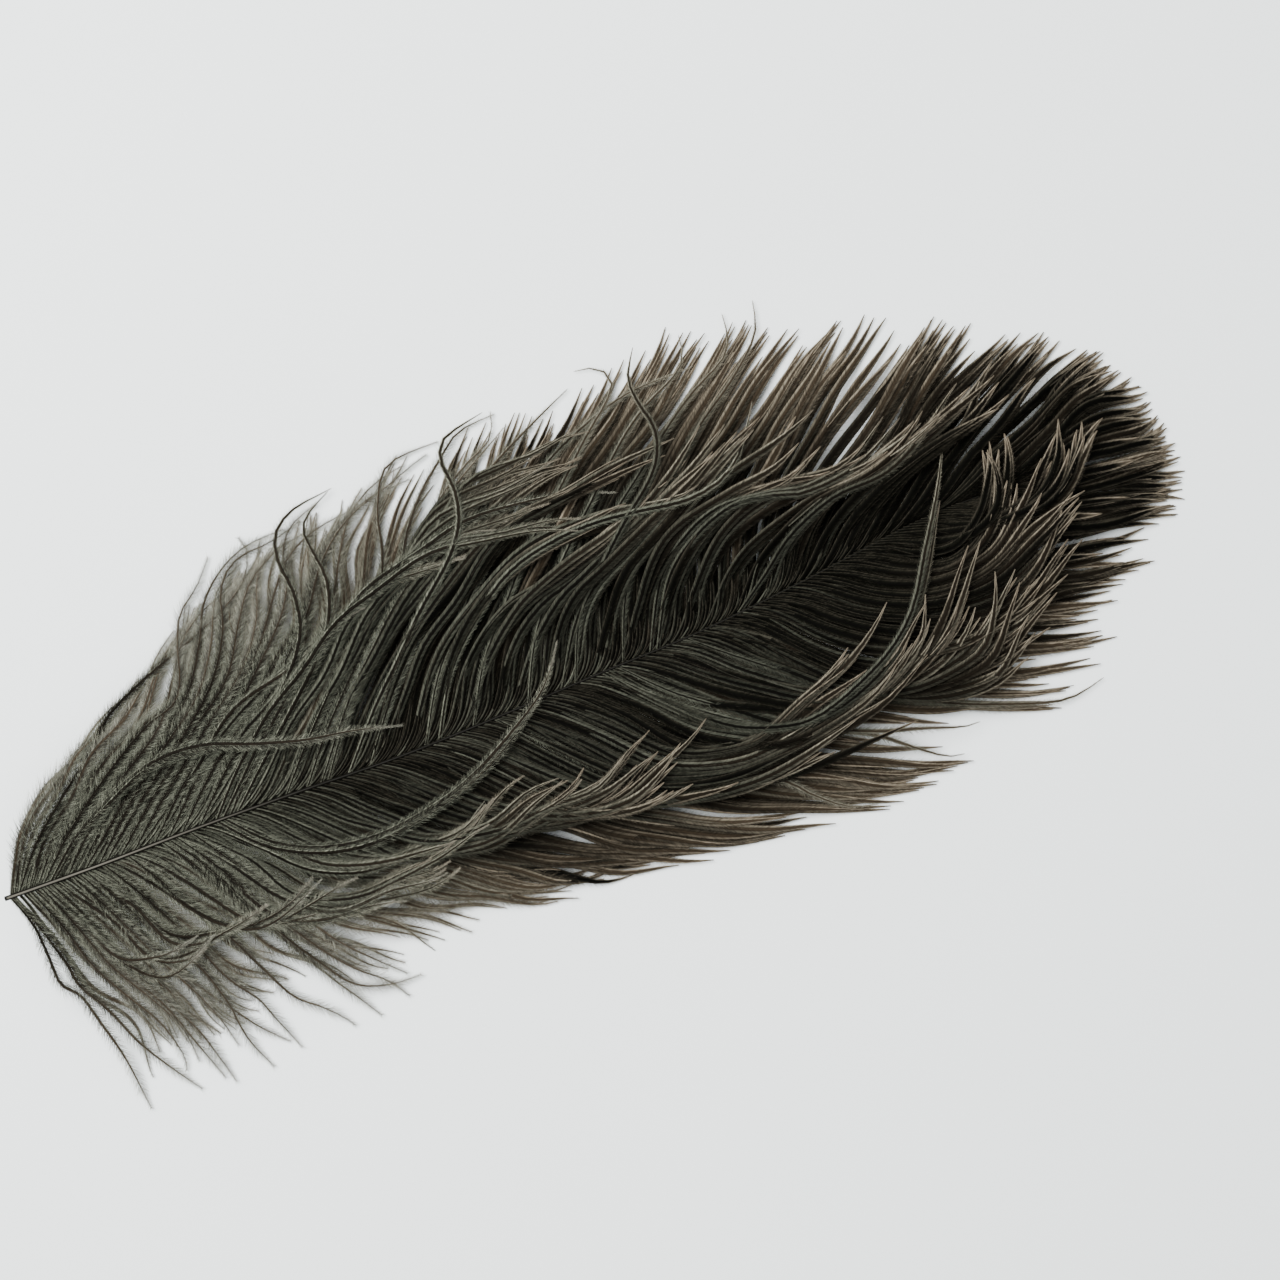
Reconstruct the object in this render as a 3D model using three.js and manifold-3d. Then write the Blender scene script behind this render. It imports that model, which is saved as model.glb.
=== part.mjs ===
// An ostrich plume lying on a flat surface: one shaft, a loose vane of locks on each side of it,
// and a few stray locks that curl back over the vanes. It grew in one piece, so it is one solid.
// Millimetres. +X runs along the shaft from the cut end to the tip, +Y to the wider-swept vane,
// +Z up from the surface that the plume lies on.
import * as THREE from 'three';
import Module from 'manifold-3d';
import { mergeVertices } from 'three/addons/utils/BufferGeometryUtils.js';

const wasm = await Module();
wasm.setup();

// The drawing below counts X and Y from the cut end of the shaft. This is the middle of the
// whole plume in that drawing, and the part's origin is under it.
const PLUME_MIDDLE = new THREE.Vector2(169.4, 2.0);

// Shaft: the centre line seen from above, and its thickness at the cut end and at the tip.
const SHAFT_LINE = [[-1, 0.1], [26, -1], [55, -1.6], [84, -2.8], [112, -4.2], [142, -4.2], [171, -3.6],
  [200, -3.3], [230, -1.2], [250, 0.8], [270, 2.4], [290, 2.2], [308, 1.1]];
const SHAFT_RADIUS_CUT_END = 1.3;
const SHAFT_RADIUS_TIP = 0.5;
const SHAFT_RISE = 0.4; // how far the shaft's middle lies above the roots of the vanes
const SHAFT_STEPS = 24;
const SHAFT_SIDES = 6;

// Height of a vane's middle surface: it leaves the shaft at SHAFT_HEIGHT, swells by VANE_CROWN
// and comes down to the surface at TOUCHDOWN of a lock's length. From there on it lies flat.
const SHAFT_HEIGHT = 6.5;
const VANE_CROWN = 4.5;
const TOUCHDOWN = 0.9;

// Locks: each vane is cut into fingers from SPLIT of their length outwards. A finger's width falls
// to TIP_WIDTH by the power TAPER of its length. Its ridge follows a sine arch made fuller by the
// power RIDGE_FULLNESS, and has already risen by RIDGE_START of the arch at the shaft.
const LOCKS_PER_VANE = 30;
const LOCK_STEPS = 10;
const SPLIT = 0.5;
const TAPER = 1.4;
const LOCK_THICKNESS = 0.8;
const RIDGE_HEIGHT = 2.2;
const RIDGE_START = 0.12;
const RIDGE_FULLNESS = 0.5;
const TIP_WIDTH = 0.9;
const SHORT_LOCKS = [1, 0.95, 0.985, 0.93];

// How the barbs flow, seen from above. Each line is one barb: where it leaves the shaft along X,
// and then the points that it passes through on its way to its tip, in [X, Y] from the cut end.
const UPPER_FLOW = [
  { root: 0.5, through: [[4, 6], [8, 15], [15, 22], [26, 27], [38, 32]] },
  { root: 4, through: [[13, 10], [22, 20], [33, 28], [45, 36], [58, 43]] },
  { root: 12, through: [[24, 10], [38, 21], [54, 32], [70, 45], [85, 62]] },
  { root: 26, through: [[38, 10], [55, 22], [74, 35], [89, 50], [103, 65]] },
  { root: 45, through: [[57, 9], [75, 22], [95, 37], [107, 54], [119, 70]] },
  { root: 65, through: [[77, 9], [95, 23], [114, 38], [130, 55], [146, 71]] },
  { root: 88, through: [[99, 9], [115, 23], [134, 39], [152, 56], [170, 72]] },
  { root: 112, through: [[121, 9], [134, 22], [152, 38], [172, 55], [194, 71]] },
  { root: 135, through: [[142, 9], [153, 23], [170, 38], [191, 55], [215, 73]] },
  { root: 160, through: [[165, 10], [174, 24], [190, 38], [211, 55], [236, 73]] },
  { root: 185, through: [[189, 10], [197, 24], [211, 37], [230, 52], [252, 69]] },
  { root: 208, through: [[212, 10], [221, 23], [235, 36], [252, 49], [269, 62]] },
  { root: 228, through: [[233, 9], [243, 20], [258, 31], [274, 43], [289, 54]] },
  { root: 246, through: [[252, 9], [264, 18], [279, 27], [294, 36], [308, 44]] },
  { root: 262, through: [[269, 8], [282, 16], [296, 23], [309, 29], [321, 35]] },
  { root: 277, through: [[285, 7], [298, 13], [311, 17], [322, 21], [332, 25]] },
  { root: 290, through: [[299, 5], [311, 8], [322, 10], [331, 12], [338, 13]] },
  { root: 303, through: [[312, 2], [321, 2], [329, 2], [336, 2], [341, 2]] },
];
const LOWER_FLOW = [
  { root: 0.5, through: [[3.5, -11], [5, -24], [9, -38], [12.5, -53], [14, -68]] },
  { root: 4, through: [[8.5, -13], [12, -27], [17, -41], [22, -54], [28, -66]] },
  { root: 12, through: [[18, -14], [23, -28], [29, -42], [34, -56], [38, -69]] },
  { root: 22, through: [[29, -14], [35, -27], [41, -40], [47, -54], [53, -68]] },
  { root: 34, through: [[43, -14], [50, -26], [58, -39], [66, -53], [73, -67]] },
  { root: 48, through: [[57, -14], [66, -26], [76, -38], [84, -51], [91, -64]] },
  { root: 62, through: [[72, -14], [83, -25], [95, -36], [104, -47], [112, -58]] },
  { root: 80, through: [[91, -15], [103, -26], [116, -37], [128, -48], [139, -58]] },
  { root: 100, through: [[111, -15], [123, -26], [137, -37], [152, -48], [167, -58]] },
  { root: 122, through: [[133, -16], [146, -28], [161, -40], [178, -53], [197, -65]] },
  { root: 146, through: [[158, -16], [172, -29], [190, -41], [211, -54], [236, -67]] },
  { root: 168, through: [[180, -16], [195, -28], [214, -40], [236, -52], [261, -63]] },
  { root: 190, through: [[204, -15], [220, -27], [240, -38], [263, -49], [289, -59]] },
  { root: 212, through: [[226, -13], [243, -23], [262, -33], [282, -42], [302, -50]] },
  { root: 232, through: [[247, -11], [264, -20], [282, -28], [299, -35], [316, -42]] },
  { root: 250, through: [[265, -8], [281, -16], [297, -22], [311, -28], [324, -33]] },
  { root: 266, through: [[281, -5], [296, -11], [310, -16], [322, -21], [333, -25]] },
  { root: 282, through: [[294, -2], [306, -6], [318, -9], [328, -13], [337, -16]] },
  { root: 299, through: [[309, -1], [319, -3], [328, -4], [335, -6], [341, -8]] },
];

// Stray locks lie over the vanes, rooted in them. They rise by STRAY_LIFT along STRAY_ARCH of a
// half sine wave, made fuller by the power STRAY_FULLNESS. Points as above, from the root to the tip.
const STRAY_LIFT = 4.5;
const STRAY_ARCH = 0.8;
const STRAY_FULLNESS = 0.6;
const STRAY_STEPS = 8;
const STRAY_WIDTH = 3.2;
const STRAY_THICKNESS = 1.2;
const STRAY_TIP = 0.5; // width and thickness at the tip
const STRAYS = [
  [[38, 15], [52, 19], [66, 19], [80, 14], [96, 9], [116, 4]],
  [[84, -17], [98, -22], [114, -22], [130, -18], [146, -8], [164, 9]],
  [[96, -33], [118, -38], [140, -38], [162, -32], [182, -21], [198, -9]],
  [[20, -27], [30, -35], [40, -36], [51, -31], [60, -26], [69, -22]],
  [[58, -33], [74, -36], [88, -37], [100, -36], [111, -32]],
  [[196, -36], [212, -38], [228, -33], [242, -25], [251, -16], [257, -8]],
  [[218, -41], [238, -37], [254, -27], [264, -12], [273, 5], [281, 21]],
  [[230, -42], [248, -37], [262, -28], [275, -17], [288, -9]],
  [[252, -46], [264, -43], [276, -36], [287, -25], [303, -17]],
  [[130, 43], [146, 47], [160, 43], [174, 38], [186, 34]],
  [[140, 54], [156, 57], [172, 59], [186, 58], [198, 56]],
  [[226, 5], [236, 14], [250, 17], [264, 18], [276, 25], [288, 32]],
  [[280, -5], [286, 2], [288, 10], [288, 19]],
  [[298, -9], [303, 0], [304, 11], [303, 22]],
];

// How finely curves and sheets are sampled where a place or a direction on them is looked up.
const HALVINGS = 30;
const SAMPLES_ACROSS = 50;
const SAMPLES_ALONG = 20;
const NEARBY = 0.02;
const WELD = 1e-5;

const vectors = points => points.map(([x, y]) => new THREE.Vector2(x, y));
const mix = THREE.MathUtils.lerp;
const shaftLine = new THREE.SplineCurve(vectors(SHAFT_LINE));

// The shaft's Y at an X: its points are evenly spread, so a few halvings find the place.
function shaftYAt(x) {
  let [low, high] = [0, 1];
  for (let i = 0; i < HALVINGS; i++) {
    const middle = (low + high) / 2;
    if (shaftLine.getPoint(middle).x < x) low = middle;
    else high = middle;
  }
  return shaftLine.getPoint(low).y;
}

// A vane's flow as one smooth sheet: place(across, along), where across runs from the first barb
// to the last and along runs from the shaft to the tips, both from 0 to 1.
function flowSheet(flow) {
  const barbs = flow.map(({ root, through }) =>
    new THREE.SplineCurve(vectors([[root, shaftYAt(root)], ...through])));
  return (across, along) =>
    new THREE.SplineCurve(barbs.map(barb => barb.getPoint(along))).getPoint(across);
}

// Height of a vane's middle surface at a distance along its locks, from 0 to 1.
function vaneHeight(along) {
  const reach = Math.min(along / TOUCHDOWN, 1);
  return SHAFT_HEIGHT * (1 - reach * reach) + VANE_CROWN * Math.sin(Math.PI * reach);
}

// The same height at a place on the drawing, from the nearest of a few hundred places of both vanes.
function heightAt(place, samples) {
  let nearest = samples[0];
  for (const sample of samples) {
    if (sample.place.distanceTo(place) < nearest.place.distanceTo(place)) nearest = sample;
  }
  return vaneHeight(nearest.along);
}

// Places all over a vane, each with its distance along the locks.
function sampleSheet(place) {
  const samples = [];
  for (let i = 0; i <= SAMPLES_ACROSS; i++) {
    for (let j = 0; j <= SAMPLES_ALONG; j++) {
      const along = j / SAMPLES_ALONG;
      samples.push({ place: place(i / SAMPLES_ACROSS, along), along });
    }
  }
  return samples;
}

// A closed solid through a row of rings, each a list of as many points, with a flat cap on each
// end. The rings turn anticlockwise as seen from the first end.
function loft(rings) {
  const sides = rings[0].length;
  const index = [];
  for (let j = 0; j + 1 < rings.length; j++) {
    for (let i = 0; i < sides; i++) {
      const here = j * sides;
      const next = here + sides;
      const turn = (i + 1) % sides;
      index.push(here + i, here + turn, next + turn, here + i, next + turn, next + i);
    }
  }
  const last = (rings.length - 1) * sides;
  for (let i = 1; i + 1 < sides; i++) {
    index.push(0, i + 1, i, last, last + i, last + i + 1);
  }
  const geometry = new THREE.BufferGeometry().setFromPoints(rings.flat());
  geometry.setIndex(index);
  return geometry;
}

function toSolid(geometry) {
  const merged = mergeVertices(geometry, WELD);
  return new wasm.Manifold(new wasm.Mesh({
    numProp: 3,
    vertProperties: merged.attributes.position.array,
    triVerts: new Uint32Array(merged.index.array),
  }));
}

// One lock of a vane: a flat blade with a ridge. It shares its side walls with its neighbours up
// to SPLIT, and from there it narrows to a finger of its own.
function makeLock(place, number, mirrored) {
  const leftAcross = number / LOCKS_PER_VANE;
  const rightAcross = (number + 1) / LOCKS_PER_VANE;
  const middleAcross = (leftAcross + rightAcross) / 2;
  const rings = [];
  for (let step = 0; step <= LOCK_STEPS; step++) {
    const along = step / LOCK_STEPS;
    const free = Math.max(0, (along - SPLIT) / (1 - SPLIT));
    const length = mix(1, SHORT_LOCKS[number % SHORT_LOCKS.length], free);
    const middle = place(middleAcross, along * length);
    const edge = across => {
      const far = place(across, along * length);
      const width = mix(far.distanceTo(middle), TIP_WIDTH / 2, free ** TAPER);
      return far.sub(middle).setLength(width).add(middle);
    };
    const left = edge(leftAcross);
    const right = edge(rightAcross);
    const height = vaneHeight(along);
    const bottom = Math.max(0, height - LOCK_THICKNESS / 2);
    const top = bottom + LOCK_THICKNESS;
    const arch = Math.sin(Math.PI * Math.min(1, along + RIDGE_START));
    const ridge = top + RIDGE_HEIGHT * arch ** RIDGE_FULLNESS;
    const ring = [
      new THREE.Vector3(left.x, left.y, bottom),
      new THREE.Vector3(right.x, right.y, bottom),
      new THREE.Vector3(right.x, right.y, top),
      new THREE.Vector3(middle.x, middle.y, ridge),
      new THREE.Vector3(left.x, left.y, top),
    ];
    rings.push(mirrored ? ring : ring.reverse());
  }
  return toSolid(loft(rings));
}

// A stray lock: a slim blade on a low arch. Its root is sunk in the vane and its tip is free.
function makeStray(points, samples) {
  const line = new THREE.SplineCurve(vectors(points));
  const rings = [];
  for (let step = 0; step <= STRAY_STEPS; step++) {
    const along = step / STRAY_STEPS;
    const middle = line.getPoint(along);
    const before = line.getPoint(Math.max(0, along - NEARBY));
    const ahead = line.getPoint(Math.min(1, along + NEARBY)).sub(before);
    const width = mix(STRAY_WIDTH, STRAY_TIP, along * along);
    const aside = new THREE.Vector2(-ahead.y, ahead.x).setLength(width / 2);
    const lift = STRAY_LIFT * Math.sin(Math.PI * STRAY_ARCH * along) ** STRAY_FULLNESS;
    const height = heightAt(middle, samples) + lift;
    rings.push([
      new THREE.Vector3(middle.x - aside.x, middle.y - aside.y, height),
      new THREE.Vector3(middle.x + aside.x, middle.y + aside.y, height),
      new THREE.Vector3(middle.x, middle.y, height + mix(STRAY_THICKNESS, STRAY_TIP, along)),
    ]);
  }
  return toSolid(loft(rings));
}

// The shaft: a tapered rod along its line, its cut end square.
function makeShaft() {
  const rings = [];
  for (let step = 0; step <= SHAFT_STEPS; step++) {
    const along = step / SHAFT_STEPS;
    const middle = shaftLine.getPoint(along);
    const radius = mix(SHAFT_RADIUS_CUT_END, SHAFT_RADIUS_TIP, along);
    const ring = [];
    for (let side = 0; side < SHAFT_SIDES; side++) {
      const angle = -side / SHAFT_SIDES * 2 * Math.PI;
      const height = SHAFT_HEIGHT + SHAFT_RISE + radius * Math.cos(angle);
      ring.push(new THREE.Vector3(middle.x, middle.y + radius * Math.sin(angle), height));
    }
    rings.push(ring);
  }
  return toSolid(loft(rings));
}

const parts = [makeShaft()];
const samples = [];
for (const [flow, mirrored] of [[UPPER_FLOW, false], [LOWER_FLOW, true]]) {
  const place = flowSheet(flow);
  samples.push(...sampleSheet(place));
  for (let number = 0; number < LOCKS_PER_VANE; number++) parts.push(makeLock(place, number, mirrored));
}
for (const points of STRAYS) parts.push(makeStray(points, samples));

// Where two locks share a wall the union can leave flat specks with no volume: the plume is the
// largest body of it.
const bodies = wasm.Manifold.union(parts).decompose();
const whole = bodies.reduce((largest, body) => body.volume() > largest.volume() ? body : largest);

const mesh = whole.getMesh();
const geometry = new THREE.BufferGeometry();
geometry.setAttribute('position', new THREE.BufferAttribute(mesh.vertProperties, 3));
geometry.setIndex(new THREE.BufferAttribute(mesh.triVerts, 1));
geometry.translate(-PLUME_MIDDLE.x, -PLUME_MIDDLE.y, 0);
geometry.computeVertexNormals();

const feather = new THREE.Mesh(geometry, new THREE.MeshStandardMaterial({
  name: 'barb', color: 0x3a352c, roughness: 0.75, metalness: 0,
}));
feather.name = 'feather';

const plume = new THREE.Group();
plume.add(feather);
export default plume;
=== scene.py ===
"""An ostrich plume lying flat: a slim shaft, two vanes of soft barbs, and stray barbs curled over them.

Lengths in the drawing are millimetres, with X along the shaft from its cut end and Y across it.
Every barb is a slim channel-shaped blade carried along a curve, edged with fine hairs.
"""
import math
from typing import NamedTuple

import bpy
import numpy as np
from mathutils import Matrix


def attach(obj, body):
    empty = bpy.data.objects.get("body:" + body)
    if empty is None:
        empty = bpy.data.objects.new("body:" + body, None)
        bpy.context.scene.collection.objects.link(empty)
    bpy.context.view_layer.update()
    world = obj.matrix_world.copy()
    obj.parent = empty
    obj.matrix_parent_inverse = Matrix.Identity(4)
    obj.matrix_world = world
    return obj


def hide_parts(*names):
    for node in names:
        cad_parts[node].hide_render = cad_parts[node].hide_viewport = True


bl_info = {
    "name": "Ostrich Plume",
    "version": (1, 0, 0),
    "blender": (4, 5, 0),
    "location": "3D View > Sidebar > Plume",
    "description": "Builds a soft grey-brown plume from single barbs and hairs, lying on a pale surface",
    "category": "Add Mesh",
}

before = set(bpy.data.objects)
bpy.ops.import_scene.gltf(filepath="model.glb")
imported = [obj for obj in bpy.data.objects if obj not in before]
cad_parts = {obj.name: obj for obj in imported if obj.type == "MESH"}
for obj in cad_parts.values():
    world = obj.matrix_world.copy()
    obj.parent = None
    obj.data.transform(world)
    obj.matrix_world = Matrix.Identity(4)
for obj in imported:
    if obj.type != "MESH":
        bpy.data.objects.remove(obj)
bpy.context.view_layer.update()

NODE = "feather"
BODY = "root"
MM = 0.001

# The middle of the plume in the drawing: the part's origin is under it.
PLUME_MIDDLE = np.array([169.4, 2.0])

# The middle line of the shaft, from its cut end to where the last barbs hide it.
SHAFT_LINE = [(-1, 0.1), (26, -1), (55, -1.6), (84, -2.8), (112, -4.2), (142, -4.2), (171, -3.6),
              (200, -3.3), (230, -1.2), (250, 0.8), (270, 2.4), (290, 2.2), (308, 1.1)]

# How the barbs of a vane flow, seen from above. Each row is one barb: the X where it leaves the
# shaft, and then the points that it passes through on its way to its tip.
UPPER_FLOW = [
    (0.5, (4, 7), (7.5, 14.5), (14, 21.5), (24, 25.5), (31, 28.5), (38, 32)),
    (3, (9, 10), (17, 18), (27, 25), (37, 31), (46, 37), (57, 41)),
    (8, (17, 10), (28, 18), (41, 26), (53, 33), (62, 42), (71, 52)),
    (15, (26, 10), (39, 19), (53, 26), (65, 34), (73, 46), (82, 59)),
    (26, (38, 11), (52, 20), (67, 27), (79, 36), (86, 50), (96, 64)),
    (40, (52, 11), (67, 20), (83, 28), (94, 39), (100, 53), (111, 67)),
    (55, (66, 10), (81, 19), (97, 28), (108, 39), (116, 54), (129, 69)),
    (72, (82, 10), (96, 20), (111, 30), (124, 41), (135, 55), (149, 72)),
    (90, (99, 10), (112, 21), (127, 32), (142, 43), (155, 56), (170, 72)),
    (112, (120, 10), (132, 22), (147, 34), (163, 46), (178, 57), (197, 71)),
    (135, (142, 10), (152, 22), (166, 34), (182, 46), (199, 58), (217, 74)),
    (160, (165, 10), (173, 22), (185, 34), (200, 46), (217, 58), (237, 73)),
    (185, (188, 10), (193, 21), (203, 32), (217, 44), (233, 56), (251, 69)),
    (208, (211, 10), (216, 20), (226, 30), (239, 41), (254, 52), (269, 62)),
    (228, (232, 9), (239, 18), (250, 27), (263, 36), (276, 45), (289, 54)),
    (246, (251, 8), (259, 15), (270, 23), (283, 31), (296, 38), (308, 44)),
    (262, (268, 7), (277, 14), (288, 20), (300, 26), (311, 31), (321, 35)),
    (277, (284, 6), (294, 11), (304, 15), (314, 19), (323, 22), (332, 25)),
    (290, (298, 4), (307, 7), (316, 9), (324, 11), (332, 12), (338, 13)),
    (303, (310, 1), (316, 1), (322, 0), (329, -1), (335, -2), (341, -3.5)),
]
LOWER_FLOW = [
    (0.5, (3.5, -9), (4.8, -19), (6, -28), (10, -39), (12.5, -53), (13.8, -68)),
    (4, (8.5, -11), (12, -21), (16, -32), (20, -42), (23, -50), (26, -57)),
    (12, (17, -12), (22, -23), (27, -33), (31, -42), (34, -50), (37, -57)),
    (22, (28, -12), (34, -23), (39, -33), (43, -42), (46, -49), (50, -55)),
    (30, (37, -12), (43, -22), (48, -32), (53, -40), (58, -46), (64, -51)),
    (38, (46, -13), (54, -25), (62, -35), (70, -44), (77, -51), (84, -57)),
    (48, (56, -13), (66, -25), (76, -36), (86, -45), (95, -52), (103, -58)),
    (62, (70, -13), (81, -25), (93, -36), (106, -44), (118, -51), (131, -56)),
    (80, (88, -14), (99, -26), (113, -37), (127, -46), (142, -53), (156, -57)),
    (100, (109, -15), (121, -28), (135, -39), (150, -48), (165, -55), (181, -60)),
    (122, (131, -15), (143, -28), (158, -40), (174, -51), (190, -59), (207, -64)),
    (146, (155, -15), (167, -28), (183, -40), (200, -51), (218, -60), (238, -66)),
    (168, (178, -15), (190, -27), (206, -39), (223, -50), (242, -59), (262, -66)),
    (190, (200, -13), (211, -23), (227, -34), (246, -44), (266, -52), (288, -59)),
    (212, (221, -11), (231, -20), (246, -30), (263, -39), (282, -46), (303, -51)),
    (232, (241, -9), (251, -17), (265, -25), (281, -32), (298, -37), (317, -42)),
    (250, (259, -7), (269, -14), (282, -20), (296, -25), (310, -29), (324, -32)),
    (266, (274, -5), (283, -10), (295, -15), (308, -19), (320, -22), (332, -25)),
    (282, (290, -3), (298, -7), (308, -10), (318, -13), (328, -15), (338, -17)),
    (299, (306, -1), (313, -2), (320, -3), (327, -3.8), (334, -4.8), (341, -6)),
]

# Notches in the outline: the X where their barbs leave the shaft, half the width, and the share of
# the length that is missing.
LOWER_NOTCHES = ((178, 6, 0.36), (206, 3, 0.15), (233, 4, 0.1), (262, 3, 0.1))

# How the barbs flow that drape back over a vane and bend towards the tip.
UPPER_DRAPE = [
    (40, (54, 11), (71, 21), (90, 28), (110, 33), (128, 36), (146, 38)),
    (54, (68, 12), (88, 25), (110, 36), (134, 43), (160, 40), (184, 34)),
    (62, (76, 12), (96, 26), (118, 38), (143, 45), (170, 46), (194, 40)),
    (70, (84, 13), (104, 28), (127, 41), (152, 50), (180, 51), (207, 50)),
    (78, (92, 14), (112, 30), (134, 45), (156, 57), (178, 59), (198, 56)),
    (86, (99, 13), (118, 28), (141, 42), (166, 52), (188, 53), (207, 58)),
    (98, (110, 12), (127, 25), (147, 37), (171, 45), (196, 48), (222, 57)),
    (110, (121, 12), (138, 26), (158, 38), (182, 43), (205, 44), (227, 45)),
    (122, (132, 13), (147, 25), (166, 32), (190, 33), (214, 32), (237, 49)),
    (136, (144, 11), (157, 21), (173, 25), (192, 32), (211, 40), (232, 52)),
    (152, (159, 10), (169, 18), (181, 22), (200, 30), (220, 40), (243, 55)),
    (170, (176, 10), (184, 19), (195, 25), (212, 33), (232, 42), (254, 54)),
    (186, (192, 9), (201, 18), (213, 25), (228, 26), (243, 23), (261, 28)),
    (200, (206, 9), (216, 19), (231, 24), (248, 23), (262, 26), (277, 37)),
    (214, (220, 7), (230, 13), (243, 17), (258, 18), (273, 23), (288, 32)),
    (232, (238, 8), (247, 15), (259, 20), (273, 25), (288, 31), (302, 38)),
    (250, (256, 8), (265, 13), (276, 17), (288, 20), (300, 24), (312, 29)),
]
LOWER_DRAPE = [
    (8, (14, -12), (20, -24), (30, -29), (42, -29), (55, -26), (68, -22)),
    (12, (19, -15), (25, -29), (32, -36.5), (42, -34), (53, -28), (65, -23)),
    (18, (25, -14), (33, -27), (43, -31), (54, -30), (65, -27), (76, -23)),
    (28, (35, -14), (44, -26), (56, -31), (70, -30), (84, -26), (97, -22)),
    (38, (46, -15), (56, -28), (69, -35), (84, -37), (99, -37), (112, -31)),
    (44, (52, -15), (62, -29), (75, -37), (92, -40), (110, -40), (128, -38)),
    (54, (62, -14), (73, -26), (87, -33), (104, -34), (121, -30), (138, -26)),
    (70, (79, -15), (92, -25), (108, -29), (124, -28), (139, -24), (153, -20)),
    (78, (88, -15), (101, -28), (117, -34), (134, -34), (151, -29), (166, -23)),
    (84, (94, -16), (108, -27), (126, -32), (148, -33), (174, -26), (198, -9)),
    (94, (105, -17), (120, -29), (138, -35), (158, -36), (180, -28), (204, -14)),
    (102, (113, -17), (127, -30), (144, -37), (162, -38), (180, -32), (198, -18)),
    (110, (121, -18), (135, -31), (151, -38), (167, -38), (182, -33), (196, -24)),
    (118, (128, -17), (140, -29), (152, -37), (163, -40), (174, -39), (184, -36)),
    (126, (137, -18), (150, -31), (163, -39), (175, -42), (186, -42), (196, -38)),
    (132, (143, -18), (157, -33), (174, -43), (194, -47), (214, -47), (232, -46)),
    (142, (152, -18), (168, -35), (190, -43), (214, -44), (238, -41), (262, -30)),
    (151, (162, -17), (178, -33), (198, -40), (220, -37), (242, -28), (262, -12)),
    (158, (169, -16), (183, -31), (201, -36), (220, -31), (239, -23), (257, -7)),
    (168, (179, -16), (194, -31), (213, -39), (234, -37), (252, -28), (266, -5)),
    (184, (196, -16), (213, -29), (233, -36), (252, -33), (266, -22), (279, -7)),
    (194, (206, -17), (223, -30), (243, -36), (262, -33), (277, -22), (289, -8)),
    (202, (214, -18), (231, -32), (250, -40), (268, -39), (280, -30), (288, -23)),
    (208, (220, -20), (236, -35), (254, -43), (270, -45), (281, -41), (289, -37)),
    (216, (227, -17), (243, -28), (261, -33), (280, -31), (293, -24), (305, -17)),
    (226, (237, -14), (253, -24), (271, -29), (289, -26), (304, -17), (315, -10)),
    (238, (249, -11), (264, -17), (281, -17), (295, -9), (304, -1), (309, 4)),
    (247, (257, -8), (269, -13), (282, -10), (291, 0), (296, 10), (302, 21)),
    (256, (264, -5), (274, -7), (283, -2), (288, 6), (290, 14), (289, 22)),
    (268, (276, -3), (286, -6), (296, -3), (303, 5), (306, 12), (309, 19)),
    (282, (290, -4), (299, -8), (308, -5), (315, 1), (320, 6), (324, 11)),
]

# Single barbs that stand out, drawn one by one: wide ones that lie over the others.
BROAD_BARBS = [
    (62, (72, -12.5), (85, -19.5), (100, -21.5), (116, -20), (131, -15.5), (144, -9.5), (155, -1.5),
     (164, 9)),
    (60, (70, -13), (83, -20.5), (98, -23), (114, -22), (129, -18), (143, -11.5), (154, -4)),
    (12, (24, 9), (38, 16), (52, 19.5), (66, 19), (79, 14), (91, 10), (104, 7.5), (117, 3.5)),
    (13, (25, 8.5), (39, 15), (53, 18.5), (66, 18), (78, 13.2), (90, 9.3), (102, 7.8)),
    (172, (183, -17), (199, -31), (219, -36), (239, -31), (254, -20), (266, -4), (275, 10), (281, 21)),
    (174, (185, -17), (201, -31.5), (221, -37), (240, -32.5), (255, -21.5), (266, -7), (274, 5)),
    (64, (78, 12), (98, 27), (120, 40), (144, 46.5), (168, 47.5), (194, 40)),
    (60, (74, 12), (94, 26), (116, 38), (140, 43.5), (162, 41.5), (185, 34)),
    (124, (136, 14), (154, 28), (174, 34), (196, 33), (214, 31), (226, 35), (237, 49)),
    (186, (196, 14), (207, 22), (219, 26), (231, 24.5), (241, 21.5), (254, 24), (268, 32)),
    (188, (198, 13), (209, 21), (221, 24.5), (232, 23), (241, 20.5), (256, 22), (272, 30)),
    (212, (222, 4), (233, 12), (247, 17), (262, 18), (276, 24), (290, 33)),
    (160, (170, 11), (182, 22), (195, 33), (206, 43), (210, 52), (208.5, 61), (208.5, 68), (213, 75)),
    (98, (112, 11), (128, 25), (143, 38), (151, 48), (153.5, 57), (152.8, 66), (156, 71.5), (168, 73.5)),
    (62, (74, 9), (88, 22), (100, 36), (102.5, 47), (101.5, 57), (104, 64.5), (111, 69), (122, 71)),
    (66, (80, 10), (96, 23), (108, 36), (112.5, 47), (111, 57), (110.3, 62), (113, 66.5), (121, 70)),
]

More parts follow.
